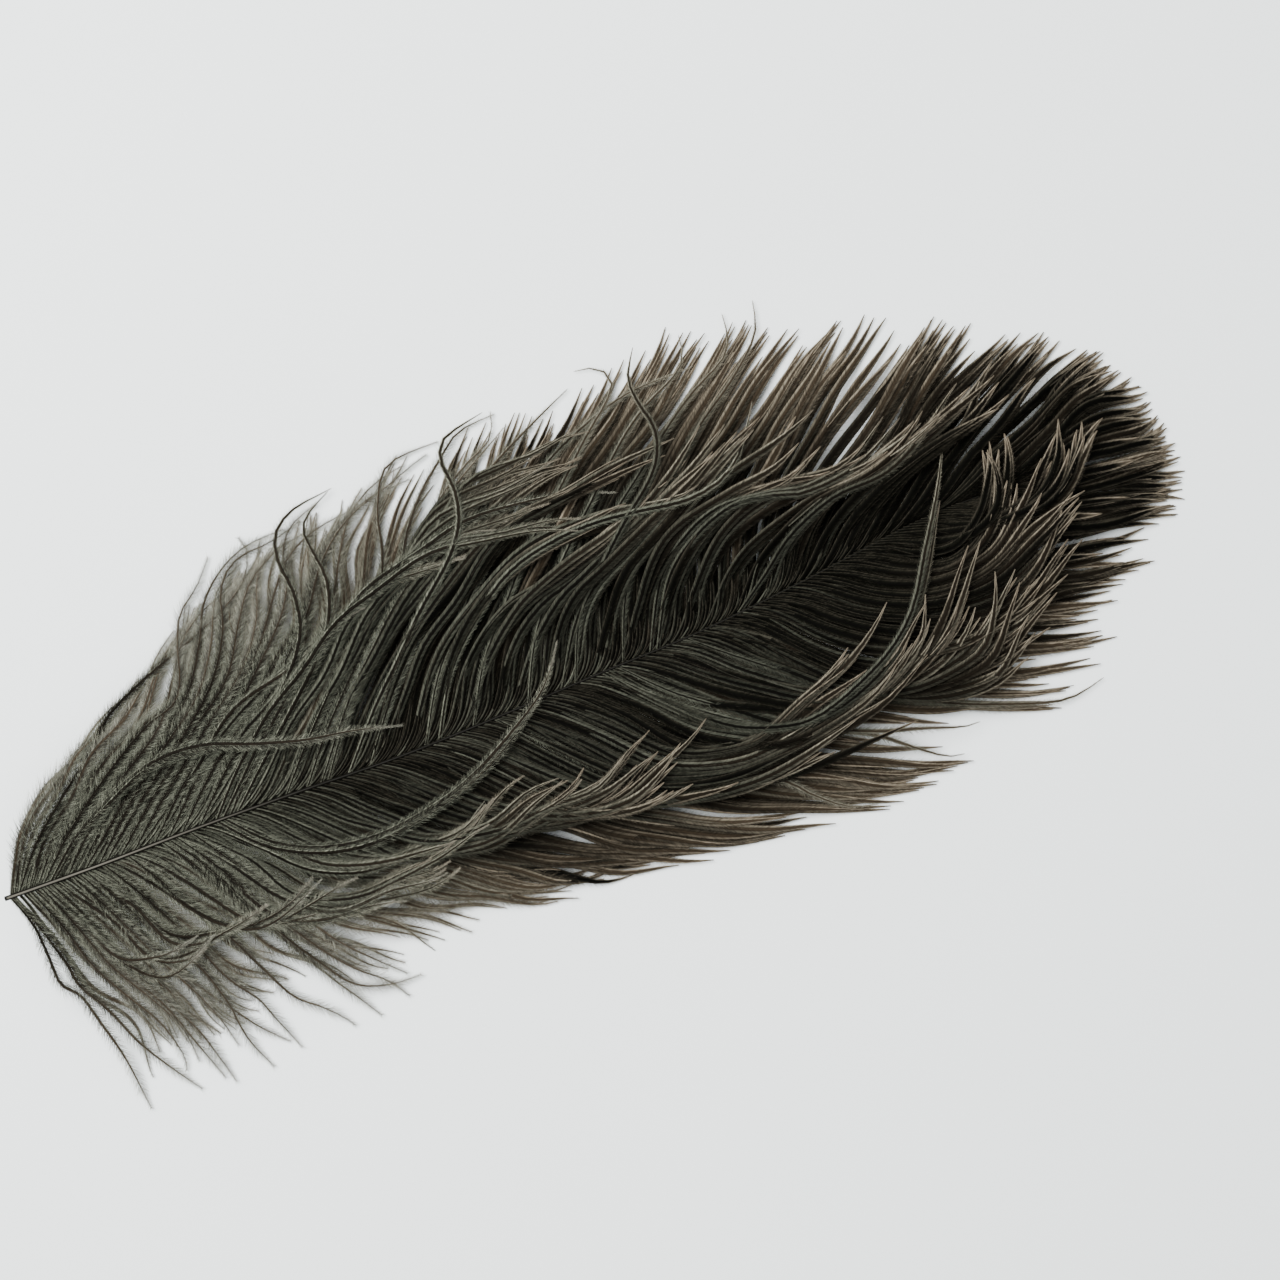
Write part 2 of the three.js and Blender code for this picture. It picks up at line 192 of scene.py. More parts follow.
# Thin single barbs that stand out from the edges in loose curves.
WISPS = [
    (10, (23, 11), (38, 21), (52, 29), (61, 31.5), (65, 37), (67, 46), (70.5, 54.5), (78, 60), (84, 66)),
    (3, (13, 11), (24, 20), (35, 28), (43, 36), (54, 41), (68, 45.5), (81, 50.5), (90, 56), (94, 63),
     (93, 68)),
    (22, (36, 10), (52, 22), (66, 33), (74, 45), (78, 54), (85, 61), (94, 65), (106, 65)),
    (28, (42, 10), (58, 21), (72, 32), (80, 45), (84, 56), (91, 62), (101, 63.5), (111, 66)),
    (36, (50, 10), (66, 22), (82, 34), (90, 45), (93, 53), (97, 59), (106, 62)),
    (17, (29, 10), (43, 19), (56, 28), (64, 38), (70, 47), (78, 53), (88, 55.5)),
    (26, (39, 10), (54, 21), (68, 31), (76, 42), (80, 51), (84, 57), (92, 60.5)),
    (32, (46, 10), (62, 22), (77, 33), (86, 46), (92, 55), (101, 60.5), (113, 62)),
    (42, (56, 11), (73, 24), (88, 37), (97, 49), (104, 57), (114, 61.5), (126, 63)),
    (46, (60, 11), (78, 25), (94, 39), (101, 50), (103, 59), (108, 65), (117, 68)),
    (55, (69, 11), (87, 25), (103, 40), (111, 51), (120, 59), (131, 64), (143, 65)),
    (64, (78, 11), (96, 26), (110, 40), (117, 52), (123, 61), (132, 67), (143, 69.5)),
    (80, (93, 11), (110, 26), (124, 39), (128.5, 49), (130, 57), (133, 64), (139, 70.5), (154, 71.5)),
    (86, (99, 12), (116, 28), (131, 42), (137, 52), (144, 61), (152, 67), (160, 72), (171, 73)),
    (92, (105, 13), (123, 30), (139, 44), (147, 55), (157, 62), (167, 67), (170, 74)),
    (90, (104, 13), (121, 29), (137, 42), (148, 53), (160, 62), (172, 68.5)),
    (104, (117, 12), (134, 28), (149, 44), (159, 55), (172, 63), (192, 71.5)),
    (134, (144, 12), (160, 29), (176, 44), (190, 56), (200, 64), (203.5, 69), (201, 73.5), (195, 75)),
    (150, (160, 14), (176, 31), (192, 46), (208, 58), (222, 66), (225, 74)),
    (164, (172, 13), (185, 30), (204, 45), (222, 57), (235, 65), (238, 75)),
    (178, (186, 14), (199, 30), (218, 45), (234, 57), (245, 66), (248, 75)),
    (50, (64, 11), (83, 25), (101, 40), (110, 52), (124, 62), (138, 66), (150, 69)),
    (120, (132, 14), (150, 31), (168, 46), (184, 57), (204, 63), (226, 64.5)),
    (0.5, (4, -10), (5, -20), (5.5, -27), (9, -32), (10.5, -42), (12.5, -54), (13.6, -68)),
    (1, (5, -10), (9, -22), (10, -29), (14, -38), (18, -49), (24, -60), (28.5, -68)),
    (6, (11, -12), (15, -25), (20, -37), (25, -47), (27, -57), (26, -62)),
    (9, (14, -12), (19, -26), (25, -38), (29, -50), (29.7, -61)),
    (12, (18, -13), (23, -26), (29, -40), (34, -52), (36, -61), (37.6, -70)),
    (10, (16, -13), (21, -27), (27, -41), (31, -53), (33, -60), (34.8, -68)),
    (18, (25, -14), (31, -27), (37, -42), (40, -52), (42, -61)),
    (22, (29, -14), (36, -27), (42, -37), (44, -48), (44, -56), (45, -62), (48.5, -70)),
    (20, (27, -14), (33, -27), (38, -39), (44, -50), (49, -58), (55.5, -65)),
    (27, (35, -14), (42, -28), (47, -42), (52, -51), (54, -58), (57.5, -68)),
    (34, (42, -14), (50, -28), (56, -42), (61, -53), (67, -59), (71, -64), (73.3, -68)),
    (44, (53, -15), (61, -30), (68, -44), (73, -54), (77, -61), (81, -68)),
    (48, (57, -15), (65, -30), (72, -43), (80, -53), (86, -59), (90, -66)),
    (52, (61, -15), (70, -30), (78, -44), (85, -53), (92, -60)),
    (46, (55, -15), (63, -31), (70, -45), (77, -56), (86, -60), (95.5, -61.2)),
    (140, (151, -16), (167, -31), (188, -42), (205, -48), (212, -55), (220, -62), (228, -65)),
    (172, (184, -16), (201, -29), (221, -40), (234, -47), (243, -54), (250, -59.5), (255, -61)),
    (176, (188, -16), (206, -30), (226, -42), (244, -49), (256, -54), (262, -54.5)),
    (196, (209, -15), (228, -31), (250, -44), (270, -53), (286, -58), (298, -56.5)),
]


class PlumeShape(bpy.types.PropertyGroup):
    """Sizes of the plume's shaft, barbs and hairs."""

    shaft_width: bpy.props.FloatProperty(
        name="Shaft width", default=1.35 * MM, unit="LENGTH",
        description="Width of the shaft at its cut end")
    shaft_tip_width: bpy.props.FloatProperty(
        name="Shaft tip width", default=0.5 * MM, unit="LENGTH",
        description="Width of the shaft where its last barbs leave it")
    shaft_height: bpy.props.FloatProperty(
        name="Shaft height", default=6.5 * MM, unit="LENGTH",
        description="Height of the shaft's middle above the surface")
    crown: bpy.props.FloatProperty(
        name="Vane crown", default=4.5 * MM, unit="LENGTH",
        description="How far the vanes swell above the line from the shaft to their tips")
    barb_pitch: bpy.props.FloatProperty(
        name="Barb pitch", default=1.2 * MM, unit="LENGTH",
        description="Distance between barbs along the shaft")
    barb_width: bpy.props.FloatProperty(
        name="Barb width", default=2.3 * MM, unit="LENGTH",
        description="Full width of a barb of the dark half, at the middle of its length")
    barb_steps: bpy.props.IntProperty(
        name="Barb steps", default=36, min=8,
        description="Lengthwise steps in each barb")
    upper_draped: bpy.props.FloatProperty(
        name="Upper vane draped", default=0.42, subtype="FACTOR",
        description="Barbs that bend over towards the tip, for each flat barb of the upper vane")
    lower_draped: bpy.props.FloatProperty(
        name="Lower vane draped", default=0.72, subtype="FACTOR",
        description="Barbs that bend over towards the tip, for each flat barb of the lower vane")
    hair_pitch: bpy.props.FloatProperty(
        name="Hair pitch", default=0.25 * MM, unit="LENGTH",
        description="Distance between hairs along each side of a barb")
    hair_width: bpy.props.FloatProperty(
        name="Hair width", default=0.18 * MM, unit="LENGTH",
        description="Width of a hair where it leaves its barb")
    seed: bpy.props.IntProperty(
        name="Seed", default=7, description="Start of the random draws that vary the barbs")


class PlumeColours(bpy.types.PropertyGroup):
    """Colours of the plume and of the surface that it lies on."""

    rib_light: bpy.props.FloatVectorProperty(
        name="Rib, light barbs", size=3, subtype="COLOR", default=(0.006, 0.005, 0.0036),
        description="Middle line of the palest barbs, near the cut end")
    rib_dark: bpy.props.FloatVectorProperty(
        name="Rib, dark barbs", size=3, subtype="COLOR", default=(0.0012, 0.0011, 0.0008),
        description="Middle line of the darkest barbs, near the tip")
    flank_light: bpy.props.FloatVectorProperty(
        name="Flank, light barbs", size=3, subtype="COLOR", default=(0.125, 0.132, 0.1),
        description="Fuzz beside the middle of the palest barbs")
    flank_dark: bpy.props.FloatVectorProperty(
        name="Flank, dark barbs", size=3, subtype="COLOR", default=(0.0033, 0.0034, 0.0023),
        description="Fuzz beside the middle of the darkest barbs")
    edge_light: bpy.props.FloatVectorProperty(
        name="Edge, light barbs", size=3, subtype="COLOR", default=(0.215, 0.22, 0.165),
        description="Edges of the palest barbs")
    edge_dark: bpy.props.FloatVectorProperty(
        name="Edge, dark barbs", size=3, subtype="COLOR", default=(0.145, 0.125, 0.092),
        description="Edges of the darkest barbs")
    tip_light: bpy.props.FloatVectorProperty(
        name="Tips, light barbs", size=3, subtype="COLOR", default=(0.21, 0.205, 0.17),
        description="Pointed ends of the palest barbs")
    tip_dark: bpy.props.FloatVectorProperty(
        name="Tips, dark barbs", size=3, subtype="COLOR", default=(0.225, 0.185, 0.132),
        description="Pointed ends of the darkest barbs")
    rib_tip: bpy.props.FloatVectorProperty(
        name="Rib near the tips", size=3, subtype="COLOR", default=(0.052, 0.038, 0.024),
        description="Middle line of the palest barbs, in their last stretch")
    shaft_pale: bpy.props.FloatVectorProperty(
        name="Shaft, pale side", size=3, subtype="COLOR", default=(0.090, 0.084, 0.068),
        description="Top of the shaft near its cut end")
    shaft_dark: bpy.props.FloatVectorProperty(
        name="Shaft, dark side", size=3, subtype="COLOR", default=(0.003, 0.0028, 0.002),
        description="Flanks of the shaft, and the whole of it near the tip")
    surface: bpy.props.FloatVectorProperty(
        name="Surface", size=3, subtype="COLOR", default=(0.87, 0.91, 0.90),
        description="Pale surface under the plume")


class PlumeStage(bpy.types.PropertyGroup):
    """Camera and lights."""

    lens: bpy.props.FloatProperty(
        name="Lens", default=85.0, description="Focal length in millimetres", unit="CAMERA")
    camera_height: bpy.props.FloatProperty(
        name="Camera height", default=0.825, unit="LENGTH",
        description="Height of the camera above the surface")
    camera_turn: bpy.props.FloatProperty(
        name="Camera turn", default=math.radians(-22), subtype="ANGLE",
        description="Turn of the camera about the vertical")
    key_power: bpy.props.FloatProperty(
        name="Key light", default=36.0, unit="POWER", description="Power of the large soft light")
    sky: bpy.props.FloatProperty(
        name="Sky", default=1.15, description="Strength of the even light from all round")


# ---------------------------------------------------------------- curves and numbers

# Places along each line of a flow sheet, along a barb of a vane while it is planned, and along a
# barb that is drawn by itself.
FLOW_COLUMNS = 160
PLAN_PLACES = 90
GUIDE_PLACES = 120

# How much closer a barb's steps stand near the shaft: 0 for even steps, 1 for a full parabola.
STEP_EASE = 0.35

# Tones are rows of the barbs' texture places, from the palest to DARKEST_ROW. The rows after it are
# as dark, for the barbs at the plume's tip, which pale over a shorter stretch.
TONE_ROWS = 14
DARKEST_ROW = 11

# The length of barb that the texture places span, how far an edge of a barb lies from the middle of
# its band, in bands, and what undoes that.
LONGEST_BARB = 170.0
BAND_HALF = 0.49
BAND_STRETCH = 2.04

# How low a barb's middle line, its blade's other lines and its hairs may lie.
LOWEST = 0.45
LOWEST_BLADE = 0.25 * LOWEST
LOWEST_HAIR = 0.3 * LOWEST

# X of the last root of a barb, X from where flat barbs stand twice as close, and X up to which every
# other draped barb is left out.
LAST_ROOT = 305.0
CROWDED_TIP = 271.0
SPARSE_DRAPES = 48.0

# How far along a vane its barbs touch the surface, the width of the bell curve by which nearby
# places share their height, and the distance in which a barb's slant at the shaft fades.
TOUCH_DOWN = 0.92
BELL_WIDTH = 6.0
SLANT_FADE = 3.8

# Thickness of a barb's keel, and what it grows by for each millimetre of half width.
KEEL = 0.05
KEEL_GROWTH = 0.12

# Lean of the hairs from their barb, in degrees: mean, spread, least and most. Then the share of a
# barb that hairs stand on, and the distance in which they darken towards the shaft: partly the
# barbs' own darker roots and partly painted shade along the shaft.
HAIR_LEAN = (39, 8, 18, 65)
HAIRY = 0.995
HAIR_SHADE = 3.5

# The pieces of a vane, by the X of their roots.
STRETCHES = (("base", -1, 85), ("middle", 85, 170), ("tip", 170, 400))


class Habit(NamedTuple):
    """How one layer of barbs grows: the share of the drawn length that its shortest locks keep, the
    share of its barbs that are cut much shorter, how far bundles stray, in drawn barbs, how far the
    tips splay, and how far pale barbs sway, in millimetres, and how freely bundles part again."""

    shortest: float
    cut: float
    stray: float
    splay: float
    sway: float
    free: float


class Vane(NamedTuple):
    """One side of the plume: the flow of its flat and of its draped barbs, the draped barbs for each
    flat one, how far back the roots stand, the share of flat barbs that are cut short, the notches,
    X of the first root, X up to which flat barbs stand twice as close, and a step of the seed."""

    flow: list
    drape: list
    draped: float
    slant: float
    ragged: float
    notches: tuple
    first: float
    crowded: float
    seed: int


def smoothstep(low, high, value):
    """Zero below low, one above high, and a smooth cubic between them."""
    t = np.clip((np.asarray(value, float) - low) / (high - low), 0, 1)
    return t * t * (3 - 2 * t)


def unit(vectors):
    """Vectors scaled to length one."""
    return vectors / np.maximum(np.linalg.norm(vectors, axis=-1, keepdims=True), 1e-9)


def spline_weights(f):
    """The four weights of a Catmull-Rom curve at a fraction f between its middle two points."""
    return np.stack([-0.5 * f + f**2 - 0.5 * f**3, 1 - 2.5 * f**2 + 1.5 * f**3,
                     0.5 * f + 2 * f**2 - 1.5 * f**3, -0.5 * f**2 + 0.5 * f**3])


def spline(points, count):
    """A smooth curve through points, as count places at even steps of the point number."""
    points = np.asarray(points, float)
    at = np.linspace(0, len(points) - 1, count)
    first = np.minimum(at.astype(int), len(points) - 2)
    near = np.clip(first + np.arange(-1, 3)[:, None], 0, len(points) - 1)
    return np.einsum("kn,knd->nd", spline_weights(at - first), points[near])


def shaft_y(x):
    """Y of the shaft's middle at an X, by straight steps along its finely sampled curve."""
    samples = 240
    line = spline(SHAFT_LINE, samples)
    return np.interp(x, line[:, 0], line[:, 1])


def whole_path(row):
    """The points of one drawn barb, its root on the shaft first."""
    return [(row[0], float(shaft_y(row[0])))] + list(row[1:])


def flow_sheet(flow):
    """A vane's flow as a grid: one line for each drawn barb, with FLOW_COLUMNS places along it."""
    return np.stack([spline(whole_path(row), FLOW_COLUMNS) for row in flow])


def on_sheet(sheet, across, along):
    """Places on a flow sheet. across counts the drawn barbs and along runs from 0 at the shaft to
    1 at the tips. Linear between columns, Catmull-Rom between barbs."""
    across = np.clip(across, 0, len(sheet) - 1)
    first = np.minimum(across.astype(int), len(sheet) - 2)
    weights = spline_weights(across - first)
    column = np.clip(along, 0, 1) * (FLOW_COLUMNS - 1)
    left = np.minimum(column.astype(int), FLOW_COLUMNS - 2)
    part = (column - left)[..., None]
    place = 0.0
    for k in range(4):
        line = np.clip(first + k - 1, 0, len(sheet) - 1)
        between = sheet[line, left] * (1 - part) + sheet[line, left + 1] * part
        place = place + weights[k][..., None] * between
    return place


def vane_height(along, shape):
    """Height of a vane above the surface: a parabola from the shaft down to where it touches, plus
    half a sine wave as the crown."""
    reach = np.minimum(along / TOUCH_DOWN, 1)
    return (shape.shaft_height * (1 - reach**2) + shape.crown * np.sin(np.pi * reach)) / MM


def height_over(plan, shape):
    """Height of the vanes at places of the drawing: the mean of a grid of places on both, weighted
    by a bell curve of the distance."""
    lines, places = 40, 18
    spots, heights = [], []
    for flow in (UPPER_FLOW, LOWER_FLOW):
        sheet = flow_sheet(flow)
        across, along = np.meshgrid(np.linspace(0, len(sheet) - 1, lines), np.linspace(0, 1, places),
                                    indexing="ij")
        spots.append(on_sheet(sheet, across, along).reshape(-1, 2))
        heights.append(vane_height(along, shape).ravel())
    spots, heights = np.concatenate(spots), np.concatenate(heights)
    flat = plan.reshape(-1, 2)
    gap = (flat[:, None, 0] - spots[None, :, 0]) ** 2 + (flat[:, None, 1] - spots[None, :, 1]) ** 2
    weight = np.exp(-gap / BELL_WIDTH**2) + 1e-12
    return ((weight @ heights) / weight.sum(axis=1)).reshape(plan.shape[:-1])


def step_places(count):
    """How far along a barb its steps are, from 0 to 1: closer together near the shaft, where barbs
    bend most, by a parabola."""
    t = np.linspace(0, 1, count)
    return (1 - STEP_EASE) * t + STEP_EASE * t**2


def step_number(place, count):
    """The step number, with its fraction, at a place along a barb. It undoes step_places."""
    start = 1 - STEP_EASE
    return (count - 1) * (np.sqrt(start**2 + 4 * STEP_EASE * place) - start) / (2 * STEP_EASE)


def run_along(path):
    """Distance along each curve at each of its places."""
    step = np.linalg.norm(np.diff(path, axis=1), axis=2)
    return np.concatenate([np.zeros((len(path), 1)), np.cumsum(step, axis=1)], axis=1)


def respaced(plan, height, count):
    """Curves from their places in the drawing and their heights, with count places along them, set
    by step_places. Returns them and their lengths."""
    path = np.concatenate([plan, height[..., None]], axis=2)
    run = run_along(path)
    length = run[:, -1]
    spaced = np.empty((len(path), count, 3))
    for i in range(len(path)):
        at = step_places(count) * length[i]
        for axis in range(3):
            spaced[i, :, axis] = np.interp(at, run[i], path[i, :, axis])
    return spaced, length


def sideways(plan):
    """Level directions across the curves of a drawing."""
    ahead = unit(np.gradient(plan, axis=1))
    return np.stack([-ahead[..., 1], ahead[..., 0]], axis=-1)


def directions(path, roll):
    """Along, aside and up at each place of the curves. Aside is level before it is turned about
    the curve by roll."""
    along = unit(np.gradient(path, axis=1))
    level = unit(np.cross([0.0, 0.0, 1.0], along))
    up = np.cross(along, level)
    cos, sin = np.cos(roll)[..., None], np.sin(roll)[..., None]
    return along, level * cos + up * sin, up * cos - level * sin


# ---------------------------------------------------------------- meshes


def tone_uv(from_tip, across, tone, plain):
    """Texture places. U is 1 at a barb's tip and falls by the millimetre towards its root. V holds
    two bands for each tone, from one edge of the barb to the other: the second one is for barbs
    that stay plain towards their tips."""
    u = 1 - np.clip(from_tip / LONGEST_BARB, 0, 1)
    row = 2 * np.clip((tone * TONE_ROWS).astype(int), 0, TONE_ROWS - 1) + plain
    v = (row + 0.5 + BAND_HALF * across) / (2 * TONE_ROWS)
    return np.stack(np.broadcast_arrays(u, v), axis=-1)


def blade_rings(barbs):
    """Vertices of the blades: four for each step, as a shallow channel. The edges stand aside by
    the half width and are raised, the top middle lies on the curve, and the keel is below it."""
    path, width = barbs["path"], barbs["width"][..., None]
    _, aside, up = barbs["directions"]
    rise = barbs["channel"][:, None, None] * width
    rings = np.stack([path + width * aside + rise * up, path,
                      path - width * aside + rise * up, path - (KEEL + KEEL_GROWTH * width) * up], axis=2)
    from_tip = barbs["length"][:, None] * (1 - step_places(path.shape[1]))
    tone, plain = (barbs[key][:, None, None] for key in ("tone", "plain"))
    uv = tone_uv(from_tip[..., None], np.array([1.0, 0.0, -1.0, 0.0]), tone, plain)
    return rings, uv


def ring_quads(rings):
    """Quads between neighbouring rings of vertex numbers. The last two axes are rings and places
    round them."""
    here, there = rings[..., :-1, :], rings[..., 1:, :]
    around = np.stack([here, there, np.roll(there, -1, axis=-1), np.roll(here, -1, axis=-1)], axis=-1)
    return around.reshape(-1, 4)


def blade_faces(count, steps):
    """Quads between the rings of four of every barb, and one on each of its ends."""
    rings = np.arange(count * steps * 4).reshape(count, steps, 4)
    ends = np.stack([rings[:, 0], rings[:, -1, ::-1]], axis=1)
    return np.concatenate([ring_quads(rings), ends.reshape(-1, 4)])


def hair_triangles(barbs, shape, rng):
    """One slim triangle for each hair. Roots stand at even steps, each moved by up to one step, along
    both sides of a barb. The point lies aside by a share of the barb's half width and of its fluff,
    and ahead by that distance over the tangent of the hair's lean."""
    path, length, steps = barbs["path"], barbs["length"], barbs["path"].shape[1]
    each = np.maximum((length / (shape.hair_pitch / MM * barbs["hair_gap"])).astype(int), 1)
    barb = np.repeat(np.arange(len(path)), each)
    number = np.arange(len(barb)) - np.repeat(np.cumsum(each) - each, each)
    barb, number = np.tile(barb, 2), np.tile(number, 2)
    at = (number + rng.random(len(barb))) / each[barb] * HAIRY
    side = np.repeat([1.0, -1.0], len(barb) // 2)
    step = step_number(at, steps)
    low = np.minimum(step.astype(int), steps - 2)
    part = step - low

    def pick(values):
        share = part[:, None] if values.ndim == 3 else part
        return values[barb, low] * (1 - share) + values[barb, low + 1] * share

    root, width, fluff = pick(path), pick(barbs["width"]), pick(barbs["fluff"])
    along, aside, up = (pick(d) for d in barbs["directions"])
    mean, spread, least, most = HAIR_LEAN
    lean = np.radians(np.clip(rng.normal(mean, spread, len(barb)), least, most))
    roll = rng.normal(0.12, 0.2, len(barb)) - 0.35 * barbs["pale"][barb]
    reach = width * 0.6 + fluff * rng.uniform(0.45, 1.15, len(barb))
    out = (side * np.cos(roll))[:, None] * aside + np.sin(roll)[:, None] * up
    start = root + (0.4 * width * side)[:, None] * aside
    start = start + (0.3 * barbs["channel"][barb] * width)[:, None] * up
    point = start + reach[:, None] * (out + along / np.tan(lean)[:, None])
    point[:, 2] = np.maximum(point[:, 2], LOWEST_HAIR)
    slimmer = 1 - 0.3 * smoothstep(0.5, 0.9, at)
    half = (0.5 * shape.hair_width / MM * rng.uniform(0.6, 1.1, len(barb)) * slimmer)[:, None] * along
    corners = np.stack([start - half, start + half, point], axis=1)
    far = rng.uniform(0.7, 1.0, len(barb))
    out_by = np.stack([0.5 * far, 0.5 * far, far], axis=1) * side[:, None]
    flip = side > 0
    corners[flip] = corners[flip][:, ::-1]
    out_by[flip] = out_by[flip][:, ::-1]
    from_tip = (length[barb] * (1 - at))[:, None]
    tone = barbs["tone"][barb] + (0.03 + 0.07 * barbs["pale"][barb]) * rng.normal(0, 1, len(barb))
    # Hairs near the root take darker tones, partly the barbs' own darker roots and partly painted shade
    # along the shaft.
    tone = np.clip(tone + 0.5 * np.exp(-length[barb] * at / HAIR_SHADE), 0, 0.999)
    return corners, tone_uv(from_tip, out_by, tone[:, None], barbs["plain"][barb, None])


def make_piece(name, vertices, quads, triangles, uv, material):
    """A mesh from whole arrays of vertices in drawing millimetres, faces and texture places."""
    place = np.array(vertices, float).reshape(-1, 3)
    place[:, :2] -= PLUME_MIDDLE
    mesh = bpy.data.meshes.new(name)
    mesh.vertices.add(len(place))
    mesh.vertices.foreach_set("co", (place * MM).astype(np.float32).ravel())
    corners = np.concatenate([np.ravel(quads), np.ravel(triangles)]).astype(np.int32)
    sizes = np.concatenate([np.full(len(quads), 4), np.full(len(triangles), 3)])
    mesh.loops.add(len(corners))
    mesh.loops.foreach_set("vertex_index", corners)
    mesh.polygons.add(len(sizes))
    mesh.polygons.foreach_set("loop_start", (np.cumsum(sizes) - sizes).astype(np.int32))
    mesh.update(calc_edges=True)
    for layer_name in ("BarbUV", "OFBake"):
        layer = mesh.uv_layers.new(name=layer_name)
        layer.data.foreach_set("uv", uv.reshape(-1, 2)[corners].astype(np.float32).ravel())
    mesh.uv_layers.active = mesh.uv_layers["BarbUV"]
    mesh.uv_layers["BarbUV"].active_render = True
    mesh.validate()
    mesh.materials.append(material)
    piece = bpy.data.objects.new(name, mesh)
    bpy.context.scene.collection.objects.link(piece)
    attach(piece, BODY)
    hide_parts(NODE)


def make_barbs(name, barbs, shape, material, rng):
    """One piece of many barbs: their blades and then their hairs, all held above the surface."""
    count, steps = barbs["path"].shape[:2]
    rings, ring_uv = blade_rings(barbs)
    corners, corner_uv = hair_triangles(barbs, shape, rng)
    rings[..., 2] = np.maximum(rings[..., 2], LOWEST_BLADE)
    vertices = np.concatenate([rings.reshape(-1, 3), corners.reshape(-1, 3)])
    uv = np.concatenate([ring_uv.reshape(-1, 2), corner_uv.reshape(-1, 2)])
    quads = blade_faces(count, steps)
    triangles = count * steps * 4 + np.arange(len(corners) * 3).reshape(-1, 3)
    make_piece(name, vertices, quads, triangles, uv, material)


def part_of(barbs, chosen):
    """The chosen barbs alone."""
    part = {key: value[chosen] for key, value in barbs.items() if key != "directions"}
    part["directions"] = tuple(value[chosen] for value in barbs["directions"])
    return part


# ---------------------------------------------------------------- barbs


def wander(run, size, wave, group, rng):
    """Slow sideways drift, the same for all barbs of a group: two sine waves over their run, with
    lengths near wave and random phases, growing from nothing at the root."""
    turns = rng.uniform(0.6, 1.5, (2, len(run), 1))[:, group] / np.reshape(wave, (1, -1, 1))
    phase = rng.uniform(0, 2 * np.pi, (2, len(run), 1))[:, group]
    drift = (np.sin(2 * np.pi * turns * run + phase) - np.sin(phase)).sum(axis=0)
    return 0.5 * np.reshape(size, (-1, 1)) * drift * smoothstep(4, 50, run)


def shared_drift(across, along, rng, waves=5):
    """Drift that neighbouring barbs share: a sum of sine waves over both directions."""
    total = 0.0
    for _ in range(waves):
        f, g, phase = rng.uniform(0.15, 0.8), rng.uniform(0.2, 1.3), rng.uniform(0, 2 * np.pi)
        total = total + np.sin(2 * np.pi * (f * across + g * along) + phase)
    return total / waves


def ripple(root_x, run, rng, waves=4):
    """Fine waves that neighbouring barbs share: a sum of sines with lengths of a few centimetres
    along the barbs and longer ones along the shaft. It grows from nothing at the root."""
    total = 0.0
    for _ in range(waves):
        along = rng.uniform(24, 46)
        over = rng.choice([-1, 1]) * rng.uniform(30, 90)
        phase = rng.uniform(0, 7)
        total = total + np.sin(2 * np.pi * (run / along + root_x / over) + phase)
    return total / waves * smoothstep(6, 36, run)


def gather(across, smallest, largest, rng):
    """Clumps of neighbouring barbs, each of smallest to largest of them. For every barb, the middle
    of its clump, the clump's number and the barb's own number in it."""
    sizes = rng.integers(smallest, largest + 1, len(across))
    clump = np.repeat(np.arange(len(sizes)), sizes)[:len(across)]
    middle = np.bincount(clump, across) / np.maximum(np.bincount(clump), 1)
    return middle[clump], clump, np.arange(len(across)) - (np.cumsum(sizes) - sizes)[clump]


